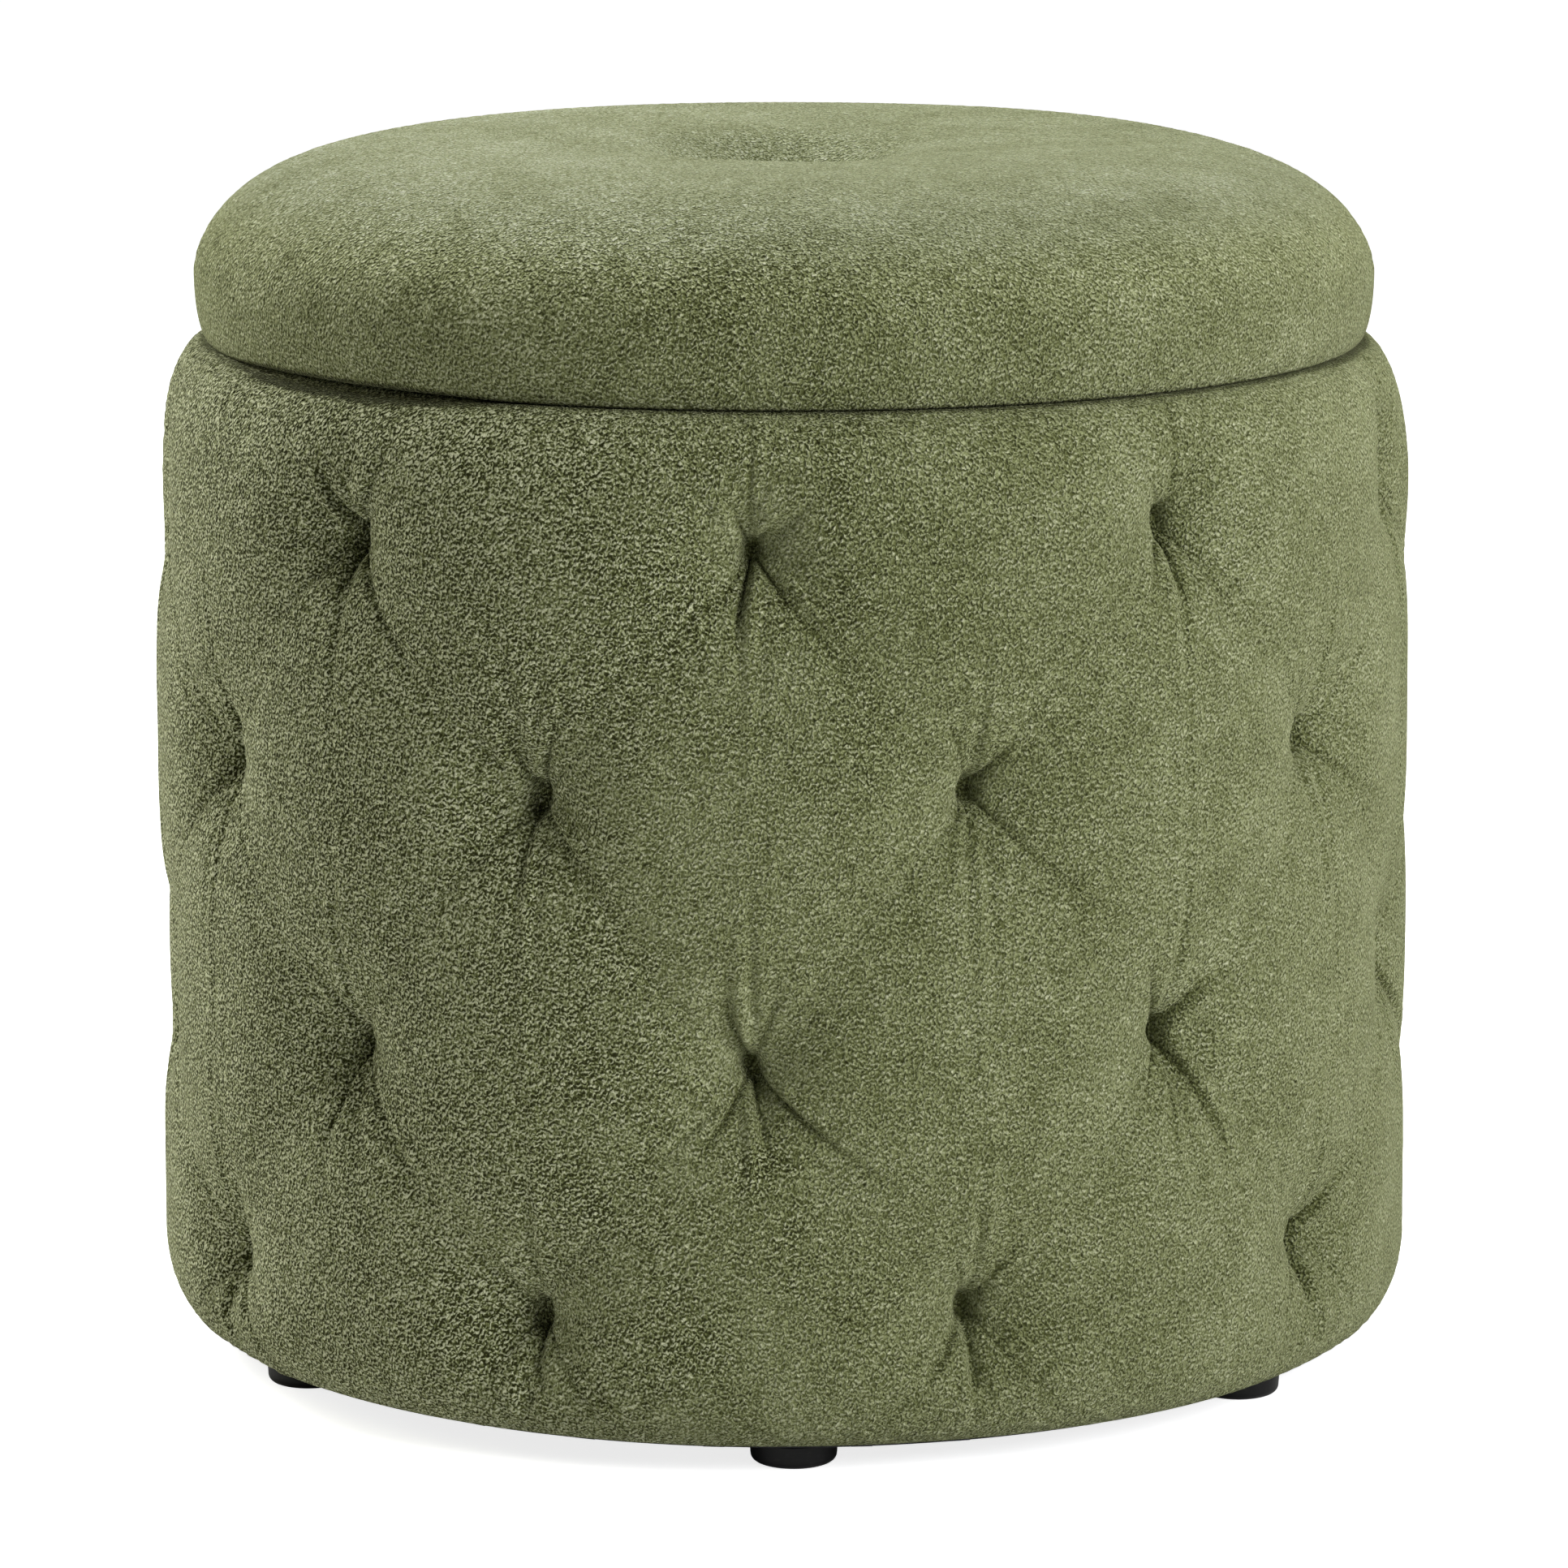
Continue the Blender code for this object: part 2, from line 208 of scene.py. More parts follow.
def catmull(values, at, wrap):
    """Catmull-Rom reading of values along their first axis at fractional places."""
    first = np.floor(at).astype(int)
    t = (at - first).reshape(-1, *[1] * (values.ndim - 1))
    count = len(values)
    a, b, c, d = (values[(first + k) % count if wrap else np.clip(first + k, 0, count - 1)]
                  for k in (-1, 0, 1, 2))
    return 0.5 * (2 * b + (c - a) * t + (2 * a - 5 * b + 4 * c - d) * t**2
                  + (3 * b - a - 3 * c + d) * t**3)


def wrapped(angle):
    return (angle + math.pi) % (2 * math.pi) - math.pi


def smoothstep(low, high, x):
    t = np.clip((x - low) / (high - low), 0, 1)
    return t * t * (3 - 2 * t)


def undulation(turn, height, waves, reach, seed):
    """Soft irregularity between about -1 and 1.

    waves is the most waves round the axis, and reach is the vertical size of the smallest.
    """
    dice = np.random.default_rng(seed)
    total = np.zeros(np.broadcast(turn, height).shape)
    for _ in range(14):
        around = dice.integers(1, waves + 1) * dice.choice([-1, 1])
        up = dice.uniform(-1, 1) * 2 * math.pi / reach
        total += np.cos(around * turn + up * height + dice.uniform(0, 2 * math.pi))
    return total / 5.3


# ---- cloth ---------------------------------------------------------------------------------------
def relax(name, rest, pulled, hold, frames, bend, pressure):
    """Cloth over a grid: held points go from rest to pulled, and the fabric between settles.

    hold is how firmly each point stays with its place: 1 where it is tied or stapled, and less
    where only the foam behind it pushes back. Returns the settled points, rows by columns.
    """
    rows, columns = rest.shape[:2]
    obj = mesh_object(name, rest, grid_faces(rows, columns, closed=False))
    obj.shape_key_add(name="Basis")
    pull = obj.shape_key_add(name="pull")
    pull.data.foreach_set("co", pulled.astype(np.float32).ravel())
    for when, value in ((1, 0.0), (12, 1.0)):   # pulled in over the first 12 frames
        pull.value = value
        pull.keyframe_insert("value", frame=when)
    pins = obj.vertex_groups.new(name="hold")
    for weight in np.unique(hold):
        pins.add([int(i) for i in np.flatnonzero(hold.ravel() == weight)], float(weight), "REPLACE")
    cloth = obj.modifiers.new("cloth", "CLOTH")
    cloth.collision_settings.use_collision = False
    cloth.point_cache.frame_start, cloth.point_cache.frame_end = 1, frames
    settings = cloth.settings
    settings.vertex_group_mass = "hold"
    settings.effector_weights.gravity = 0.0
    settings.quality = 5
    settings.mass = 0.05
    settings.tension_stiffness = settings.compression_stiffness = 15.0
    settings.shear_stiffness = 5.0
    settings.bending_stiffness = bend
    settings.use_pressure = True
    settings.uniform_pressure_force = pressure
    for frame_number in range(1, frames + 1):
        bpy.context.scene.frame_set(frame_number)
    settled = obj.evaluated_get(bpy.context.evaluated_depsgraph_get()).data
    points = np.zeros(rest.size, np.float32)
    settled.vertices.foreach_get("co", points)
    bpy.data.objects.remove(obj)
    bpy.context.scene.frame_set(1)
    return points.reshape(rest.shape).astype(float)


def settled_offsets(points, base):
    """What the cloth did to a grid, as changes of azimuth, radius and height."""
    turn = np.arctan2(points[..., 0], -points[..., 1])
    radius = np.hypot(points[..., 0], points[..., 1])
    return np.stack([wrapped(turn - base[..., 0]), radius - base[..., 1],
                     points[..., 2] - base[..., 2]], -1)


def resampled(offsets, rows, turn):
    """Offsets of a coarse, evenly spaced grid read at rows (0..1) and azimuths of a finer one."""
    fine = catmull(offsets, rows * (len(offsets) - 1), wrap=False)
    places = (turn / (2 * math.pi) * offsets.shape[1]) % offsets.shape[1]
    return catmull(fine.swapaxes(0, 1), places, wrap=True).swapaxes(0, 1)


# ---- drum ----------------------------------------------------------------------------------------
def tuft_places():
    """(azimuth, height, row) of each blind tuft."""
    places = []
    for row, height in enumerate(TUFT_ROWS):
        for column in range(TUFT_COLUMNS):
            step = 360 / TUFT_COLUMNS
            turn = math.radians(TUFT_TURN + step * (column + 0.5 * (row % 2)))
            places.append((turn, height + TUFT_TILT * math.sin(turn), row))
    return places


TUFTS = tuft_places()


def nearest_tuft(turn, height):
    """Distance over the surface from each point to its nearest tuft."""
    nearest = np.full(np.broadcast(turn, height).shape, 1.0)
    for tuft_turn, tuft_height, _ in TUFTS:
        across = wrapped(turn - tuft_turn) * DRUM_R
        nearest = np.minimum(nearest, np.hypot(across, height - tuft_height))
    return nearest


def drum_cloth():
    """The settled offsets of the drum's cover between its lower corner and its rim."""
    section = spaced(drum_outline(), 104)
    base = swept(section, azimuths(378))
    turn, height = base[..., 0], base[..., 2]
    distance = nearest_tuft(turn, height)
    pull = -TUFT_DEPTH * np.exp(-(distance / TUFT_SPREAD) ** 1.2)
    rest = base.copy()
    rest[..., 1] *= 1.012
    rest[..., 2] = 0.21 + (rest[..., 2] - 0.21) * 1.010
    pulled = base.copy()
    pulled[..., 1] += pull
    hold = np.full(distance.shape, 0.40)
    for tuft_turn, tuft_height, _ in TUFTS:
        across = wrapped(turn - tuft_turn) * DRUM_R
        hold.flat[np.argmin(np.hypot(across, height - tuft_height))] = 1.0
    hold[[0, 1, -2, -1]] = 1.0
    points = relax("drum_cloth", to_xyz(rest), to_xyz(pulled), hold, 20, bend=2.0, pressure=2.5)
    return settled_offsets(points, base)


def crease(across, up, angle, length, depth, width, bow=0.0, lip=0.4):
    """A pinched fold that runs from a tuft at an angle (degrees from right), fading out.

    lip is how far the cloth on one side of the fold stands over the other.
    """
    cos, sin = math.cos(math.radians(angle)), math.sin(math.radians(angle))
    along = across * cos + up * sin
    aside = up * cos - across * sin - bow * (along / length) ** 2 * length
    fade = (1 - smoothstep(0.10, 1.0, along / length)) * smoothstep(-0.003, 0.006, along)
    spread = width * (0.7 + 0.8 * np.clip(along / length, 0, 1))
    groove = np.exp(-np.abs(aside / spread) ** 1.3)
    shoulder = aside / (3 * spread) * np.exp(0.5 - 0.5 * (aside / (3 * spread)) ** 2)
    # The second value is where the fold's painted shade lies.
    return depth * fade * (lip * shoulder - groove), groove * fade


def drum_creases(turn, height):
    """The sharp part of each tuft: its narrow cavity and the folds that the tie pinches up.

    Returns how far the cloth moves out, and how much painted shade each point gets in the pits
    and folds, from 0 to 1.
    """
    last_row = len(TUFT_ROWS) - 1
    total, painted_shade = np.zeros(turn.shape), np.zeros(turn.shape)
    for tuft_turn, tuft_height, row in TUFTS:
        dice = np.random.default_rng(int(7000 + 1000 * wrapped(tuft_turn) + 50 * row))
        across = wrapped(turn - tuft_turn) * DRUM_R
        up = height - tuft_height
        near = (np.abs(across) < 0.09) & (np.abs(up) < 0.09)
        x, y = across[near], up[near]
        tall = dice.uniform(1.3, 2.0)
        pit = np.exp(-(np.hypot(x, y / tall) / PIT_WIDTH) ** 2)
        fall = -PIT_DEPTH * pit - HOLLOW_DEPTH * np.exp(-(np.hypot(x, y) / HOLLOW_WIDTH) ** 2)
        # Painted shade: full in the pit, and along each fold as strong as the fold.
        closed = pit
        for angle, length, depth in FOLDS:
            strength = dice.uniform(0.15, 0.9) * (0.55 if row == last_row else 1.0)
            fold, groove = crease(x, y, angle + dice.uniform(-11, 11),
                                  length * dice.uniform(0.7, 1.15), depth * strength,
                                  FOLD_WIDTH * dice.uniform(0.8, 1.2), bow=dice.uniform(-0.2, 0.2),
                                  lip=dice.uniform(-0.7, 0.7))
            fall, closed = fall + fold, np.maximum(closed, groove * min(1.0, strength * 1.3))
        total[near] += fall
        painted_shade[near] = np.maximum(painted_shade[near], closed)
        # A short crease runs up from the top row to the rim, with some painted shade in it, and one
        # down from the last row.
        if row == 0:
            lift = smoothstep(0.004, 0.02, up) * (1 - smoothstep(0.03, 0.06, up))
            line = dice.uniform(0.2, 0.9) * lift * np.exp(-(across / 0.0015) ** 2)
            total -= 0.0016 * line
            painted_shade = np.maximum(painted_shade, 0.4 * line)
        if row == last_row:
            drop = smoothstep(0.004, 0.02, -up) * (1 - smoothstep(0.02, 0.05, -up))
            total -= 0.0012 * drop * np.exp(-(across / 0.0022) ** 2)
    return total, painted_shade


def valleys(turn, height):
    """Shallow diagonal dips between neighbouring tufts, some with a fine crease along them."""
    total = np.zeros(turn.shape)
    for tuft_turn, tuft_height, row in TUFTS:
        dice = np.random.default_rng(int(9000 + 1000 * wrapped(tuft_turn) + 50 * row))
        for side in (-1, 1):
            end_turn = tuft_turn + side * math.pi / TUFT_COLUMNS
            ends = [place for place in TUFTS
                    if place[2] == row + 1 and abs(wrapped(place[0] - end_turn)) < 0.05]
            fine = dice.uniform(-0.4, 1.0)
            if not ends:
                continue
            run, drop = side * math.pi / TUFT_COLUMNS * DRUM_R, ends[0][1] - tuft_height
            length = math.hypot(run, drop)
            across, up = wrapped(turn - tuft_turn) * DRUM_R, height - tuft_height
            along = (across * run + up * drop) / length**2
            aside = (up * run - across * drop) / length
            aside = aside + 0.004 * fine * np.sin(math.pi * along)
            fade = smoothstep(0.0, 0.25, along) * smoothstep(0.0, 0.25, 1 - along)
            dip = VALLEY_DEPTH * np.exp(-(aside / VALLEY_WIDTH) ** 2)
            dip += LINE_DEPTH * max(fine, 0.0) * np.exp(-np.abs(aside / LINE_WIDTH) ** 1.3)
            total -= fade * dip
    return total


def crowded(t, marks, spread, weight):
    """t warped so that rows gather near the marks; all are fractions of the outline."""
    dense = np.linspace(0, 1, 2001)
    load = 1 + weight * sum(np.exp(-((dense - mark) / spread) ** 2) for mark in marks)
    total = np.concatenate([[0.0], np.cumsum((load[1:] + load[:-1]) / 2)])
    return np.interp(t, total / total[-1], dense)


def row_crowding(t):
    """More rows of the drum near the four rows of tufts."""
    under_corner, both_corners = 0.004, 0.022   # what the corners add to the outline's length
    marks = (np.array(TUFT_ROWS) - BASE_Z + under_corner) / (RIM_Z - BASE_Z + both_corners)
    return crowded(t, marks, 0.05, 1.6)


def lid_crowding(t):
    """More rows of the lid at its lower edge, where the seam's shade ends."""
    return crowded(t, (0.0,), 0.015, 5.0)


def seam_gap(turn):
    """How far the rim and the lid's edge stand apart."""
    return SEAM_GAP * np.exp(-(wrapped(turn - GAP_TURN) / GAP_WIDTH) ** 4)


def mark_painted_shade(obj, before, values, after):
    """Write values on the rows of a grid that follow the first before rows; the rest get 0."""
    columns = values.shape[1]
    every = np.concatenate([np.zeros((before, columns)), values, np.zeros((after, columns))])
    obj.data.attributes.new("painted_shade", "FLOAT", "POINT").data.foreach_set("value", every.ravel())


def make_drum():
    rows, columns = 350, 1224
    turn = azimuths(columns, crowd=0.55, start=math.radians(TUFT_TURN))
    spread = row_crowding(np.linspace(0, 1, rows))
    section = spaced(drum_outline(), rows, row_crowding)
    side = swept(section, turn)
    offsets = resampled(drum_cloth(), spread, turn)
    side_turn, side_height = side[..., 0] + offsets[..., 0], side[..., 2] + offsets[..., 2]
    # Foam fills the pillows: shallow parts of the cloth's dip come up, and deep ones stay.
    dip = np.clip(-offsets[..., 1] / TUFT_DEPTH, 0, None)
    offsets[..., 1] = np.where(dip > 0, -TUFT_DEPTH * dip**1.2, offsets[..., 1]) + FOAM_SWELL
    folds, painted_shade = drum_creases(side_turn, side_height)
    offsets[..., 1] += folds + valleys(side_turn, side_height)
    offsets[..., 1] += 0.0006 * undulation(side_turn, side_height, 9, 0.12, 3)
    deepest = SKIN_R + 0.0012 - side[..., 1]
    offsets[..., 1] = np.clip(offsets[..., 1], np.minimum(deepest, 0), 0.003)
    # The upper half is a millimetre flatter on the right.
    flatter = np.exp(-(wrapped(side_turn - math.radians(90)) / math.radians(38)) ** 2)
    offsets[..., 1] -= 0.0010 * flatter * smoothstep(0.12, 0.24, side_height)
    side += offsets
    give = seam_gap(side[..., 0]) * RIM_SHARE
    side[..., 2] -= give * smoothstep(RIM_Z - 0.06, RIM_Z, side[..., 2])

    under = swept(np.linspace((TURN_UNDER_R, BASE_Z), section[0], 10)[:-1], turn)
    corner = arc((RIM_INNER_R + RIM_ROUND, RIM_Z - RIM_ROUND), (RIM_ROUND, RIM_ROUND), 90, 180, 6)
    rim_path = [*np.linspace(section[-1], corner[0], 8)[1:], *corner[1:],
                *np.linspace(corner[-1], (RIM_INNER_R, TURN_IN_Z), 8)[1:]]
    rim = swept(np.array(rim_path), turn)
    give = seam_gap(rim[..., 0]) * RIM_SHARE
    rim[..., 2] -= give * smoothstep(RING_R, DRUM_R - SHOULDER_RX, rim[..., 1])
    inside = [(RIM_INNER_R + CLOTH_T, TURN_IN_Z), (RIM_INNER_R + CLOTH_T, RIM_Z - CLOTH_T),
              (SKIN_R + GAP, RIM_Z - CLOTH_T), (SKIN_R + GAP, BASE_Z + CLOTH_T),
              (TURN_UNDER_R, BASE_Z + CLOTH_T)]
    hidden = swept(np.array(inside), turn)
    obj = ring_solid("drum_wrap", np.concatenate([under, side, rim, hidden]))
    # Painted shade in the groove under the lid's edge, widest and darkest where the lid stands off.
    ajar = seam_gap(turn) / SEAM_GAP
    reach = LID_R - RIM_SHADE[0] + RIM_SHADE[1] * ajar
    groove = smoothstep(-0.0004, 0.0004, reach - side[..., 1]) * (side[..., 2] > RIM_Z - 0.03)
    mark_painted_shade(obj, len(under), np.maximum(painted_shade, (1.0 + 0.9 * ajar) * groove),
                len(rim) + len(hidden))
    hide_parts("drum_cover", "foam_wrap")
    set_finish(obj, "fleece")
    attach(obj, "base")
    return obj


# ---- lid -----------------------------------------------------------------------------------------
def lid_cloth():
    """The settled offsets of the lid's cover, from its turned-under edge to its tie."""
    section = spaced(lid_outline(), 84)
    base = swept(section, azimuths(252))
    rest = base.copy()
    rest[..., 1] *= 1.004
    hold = np.full(base.shape[:2], 0.45)
    hold[:8] = 1.0
    hold[-3:] = 1.0
    points = relax("lid_cloth", to_xyz(rest), to_xyz(base), hold, 16, bend=1.0, pressure=1.5)
    return settled_offsets(points, base)


def make_lid():
    rows, columns = 230, 620
    turn = azimuths(columns)
    section = spaced(lid_outline(), rows, lid_crowding)
    shell = swept(section, turn)
    shell += resampled(lid_cloth(), lid_crowding(np.linspace(0, 1, rows)), turn)
    angle, radius, height = np.moveaxis(shell, -1, 0)
    soft = smoothstep(0.0, 0.03, height - LID_Z)
    shell[..., 2] += 0.0009 * soft * undulation(angle, radius, 5, 0.16, 11)
    edge = smoothstep(LID_TURN_UNDER_R + 0.008, LID_R - LID_CORNER_RX, radius)
    edge *= 1 - smoothstep(LID_Z, LID_Z + LID_BELLY_Z, height)
    # A dark line of painted shade along the lid's lower edge, taller where the lid stands off.
    deep = LID_SHADE[0] + LID_SHADE[1] * seam_gap(angle) / SEAM_GAP
    painted_darkening = 1 - smoothstep(0.3, 1.0, (height - LID_Z) / deep)
    shell[..., 2] += LID_SHARE * seam_gap(angle) * edge

    inside = [(TIE_HOLE_R, LID_BOARD_TOP + GAP), (LID_BOARD_R + GAP, LID_BOARD_TOP + GAP),
              (LID_BOARD_R + GAP, LID_BOARD_LOW - GAP), (LID_TURN_UNDER_R, LID_BOARD_LOW - GAP)]
    hidden = swept(np.array(inside), turn)
    under = swept(np.linspace((LID_TURN_UNDER_R, LID_Z), section[0], 8)[:-1], turn)
    obj = ring_solid("lid_cushion", np.concatenate([under, shell, hidden]))
    mark_painted_shade(obj, len(under), 1.5 * painted_darkening, len(hidden))
    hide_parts("lid_cover", "lid_foam")
    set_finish(obj, "fleece")
    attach(obj, "lid")
    return obj


# ---- small turned pieces and sheets --------------------------------------------------------------
def turned(name, outline, count, centre=(0.0, 0.0)):
    """A ring solid turned about a vertical axis through centre."""
    obj = ring_solid(name, swept(np.array(outline, float), azimuths(count)))
    obj.data.transform(Matrix.Translation((*centre, 0.0)))
    obj.data.set_sharp_from_angle(angle=math.radians(32))
    return obj


def make_foot(node):
    """A round glide with a soft lower edge and the well that its screw's head sits in."""
    low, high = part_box(node)
    centre = ((low[0] + high[0]) / 2, (low[1] + high[1]) / 2)
    radius, top = (high[0] - low[0]) / 2, high[2]
    well, shank, well_top = 0.0052, 0.0024, 0.0055
    outline = [(shank, well_top), (well, well_top), (well, 0.0006), (well + 0.0006, 0.0)]
    outline += [*arc((radius - 0.0034, 0.0030), (0.0030, 0.0030), -90, 0, 6)]
    outline += [(radius - 0.0002, 0.0062), (radius, top - 0.0009), (radius - 0.0007, top),
                (shank, top)]
    obj = turned("pad_" + node, outline, 56, centre)
    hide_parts(node)
    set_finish(obj, "foot_plastic")
    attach(obj, "base")
    return obj


def make_wall_lining():
    turn = azimuths(432)
    thickness = 0.001
    heights = np.linspace(WALL_LOW, WALL_TOP, 60)
    inner = swept(np.stack([np.full(60, WALL_R - thickness), heights], -1), turn)
    ripple = 0.0002 * undulation(inner[..., 0], inner[..., 2], 40, 0.5, 17)
    inner[..., 1] += np.clip(ripple, -0.0003, 0.0004)
    outer = swept(np.stack([np.full(2, WALL_R), heights[[-1, 0]]], -1), turn)
    obj = ring_solid("lining_wall", np.concatenate([inner[::-1], outer[::-1]]))
    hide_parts("wall_lining")
    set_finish(obj, "lining")
    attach(obj, "base")
    return obj


def disc_sheet(name, node, body, ripple, seed, face_down):
    """A round sheet with slack ripples on its free face."""
    radius, low, high = extent(node)
    turn = azimuths(240)
    reach = np.linspace(0.0012, radius, 60)
    free = swept(np.stack([reach, np.full(60, low if face_down else high)], -1), turn)
    wave = undulation(free[..., 0], free[..., 1], 6, 0.09, seed) * ripple
    wave *= smoothstep(0.004, 0.03, free[..., 1]) * smoothstep(0, 0.015, radius - free[..., 1])
    free[..., 2] += np.abs(wave) * (-1 if face_down else 1)
    flat = swept(np.stack([reach[[-1, 0]], np.full(2, high if face_down else low)], -1), turn)
    section = np.concatenate([free, flat]) if face_down else np.concatenate([free, flat])[::-1]
    obj = ring_solid(name, section)
    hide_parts(node)
    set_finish(obj, "lining")
    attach(obj, body)
    return obj


def make_staples(name, radius, face_z, count, body):
    """Wire staples with their crowns flat on a downward face, legs up into the board."""
    wire, width, leg = 0.00035, 0.009, 0.004
    points, faces = [], []
    for index in range(count):
        spin = 2 * math.pi * (index + 0.5) / count + math.radians(rng.uniform(-1.5, 1.5))
        tilt = math.radians(rng.uniform(-6, 6))
        path = [(-width / 2, leg), (-width / 2, 0.0004), (-width / 2 + 0.0005, 0.0),
                (width / 2 - 0.0005, 0.0), (width / 2, 0.0004), (width / 2, leg)]
        first = len(points)
        for x, z in path:
            for corner in range(6):
                side = math.pi / 3 * corner
                across, lift = wire * math.cos(side), wire * math.sin(side)
                steep = abs(x) > width / 2 - 0.0002
                px = x + (lift if steep else 0.0)
                pz = z + (0.0 if steep else lift)
                local = Vector((px * math.cos(tilt) - across * math.sin(tilt),
                                px * math.sin(tilt) + across * math.cos(tilt)))
                out = radius + local.y
                points.append((out * math.sin(spin) + local.x * math.cos(spin),
                               -out * math.cos(spin) + local.x * math.sin(spin),
                               face_z - wire + pz))
        for step in range(len(path) - 1):
            for corner in range(6):
                a, b = first + step * 6 + corner, first + step * 6 + (corner + 1) % 6
                faces.append((a, b, b + 6, a + 6))
        faces.append(tuple(first + c for c in range(6))[::-1])
        faces.append(tuple(first + (len(path) - 1) * 6 + c for c in range(6)))
    mesh = bpy.data.meshes.new(name)
    mesh.from_pydata(points, [], faces)
    mesh.shade_smooth()
    obj = bpy.data.objects.new(name, mesh)
    bpy.context.collection.objects.link(obj)
    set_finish(obj, "screw_steel")
    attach(obj, body)
    return obj


# ---- materials -----------------------------------------------------------------------------------
class Finish:
    """A procedural material built up node by node."""

    def __init__(self, name, **constants):
        self.material = bpy.data.materials.new(name)
        self.material.use_nodes = True
        self.tree = self.material.node_tree
        self.shader = self.tree.nodes["Principled BSDF"]
        for socket, value in constants.items():
            self.shader.inputs[socket.replace("_", " ")].default_value = value
        self.place = self.tree.nodes.new("ShaderNodeTexCoord").outputs["Object"]

    def node(self, kind, out=0, inputs=None, **settings):
        made = self.tree.nodes.new("ShaderNode" + kind)
        for key, value in settings.items():
            setattr(made, key, value)
        for socket, value in (inputs or {}).items():
            if isinstance(value, bpy.types.NodeSocket):
                self.tree.links.new(value, made.inputs[socket])
            else:
                made.inputs[socket].default_value = value
        return made.outputs[out]

    def scaled(self, scale):
        return self.node("Mapping", inputs={"Vector": self.place, "Scale": scale})

    def noise(self, scale, vector=None, detail=2.0, rough=0.5, warp=0.0, out="Fac"):
        return self.node("TexNoise", out, {"Vector": vector or self.place, "Scale": scale,
                                           "Detail": detail, "Roughness": rough,
                                           "Distortion": warp})

    def math(self, operation, a, b=0.0, c=0.0, clamp=False):
        return self.node("Math", 0, {0: a, 1: b, 2: c}, operation=operation, use_clamp=clamp)

    def vector(self, operation, a, b):
        return self.node("VectorMath", 0, {0: a, 1: b}, operation=operation)

    def smooth(self, value, low, high):
        """0 below low, 1 above high, and an even curve between."""
        return self.node("MapRange", 0, {"Value": value, "From Min": low, "From Max": high},
                         interpolation_type="SMOOTHSTEP")

    def ramp(self, value, *stops):
        """Colour ramp; each stop is (position, (r, g, b)) or (position, grey)."""
        made = self.tree.nodes.new("ShaderNodeValToRGB")
        elements = made.color_ramp.elements
        while len(elements) < len(stops):
            elements.new(0.5)
        for element, (position, colour) in zip(elements, stops):
            colour = colour if isinstance(colour, tuple) else (colour,) * 3
            element.position, element.color = position, (*colour, 1.0)
        self.tree.links.new(value, made.inputs["Fac"])
        return made.outputs["Color"]

    def mix(self, factor, a, b):
        made = self.tree.nodes.new("ShaderNodeMix")
        made.data_type = "RGBA"
        for socket, value in ((0, factor), (6, a), (7, b)):
            if isinstance(value, bpy.types.NodeSocket):
                self.tree.links.new(value, made.inputs[socket])
            else:
                made.inputs[socket].default_value = value if socket == 0 else (*value, 1.0)
        return made.outputs[2]

    def bump(self, height, strength, distance, under=None):
        inputs = {"Strength": strength, "Distance": distance, "Height": height}
        if under is not None:
            inputs["Normal"] = under
        return self.node("Bump", 0, inputs)

    def finish(self, colour=None, roughness=None, normal=None):
        for socket, value in (("Base Color", colour), ("Roughness", roughness), ("Normal", normal)):
            if value is not None:
                self.tree.links.new(value, self.shader.inputs[socket])
        return self.material


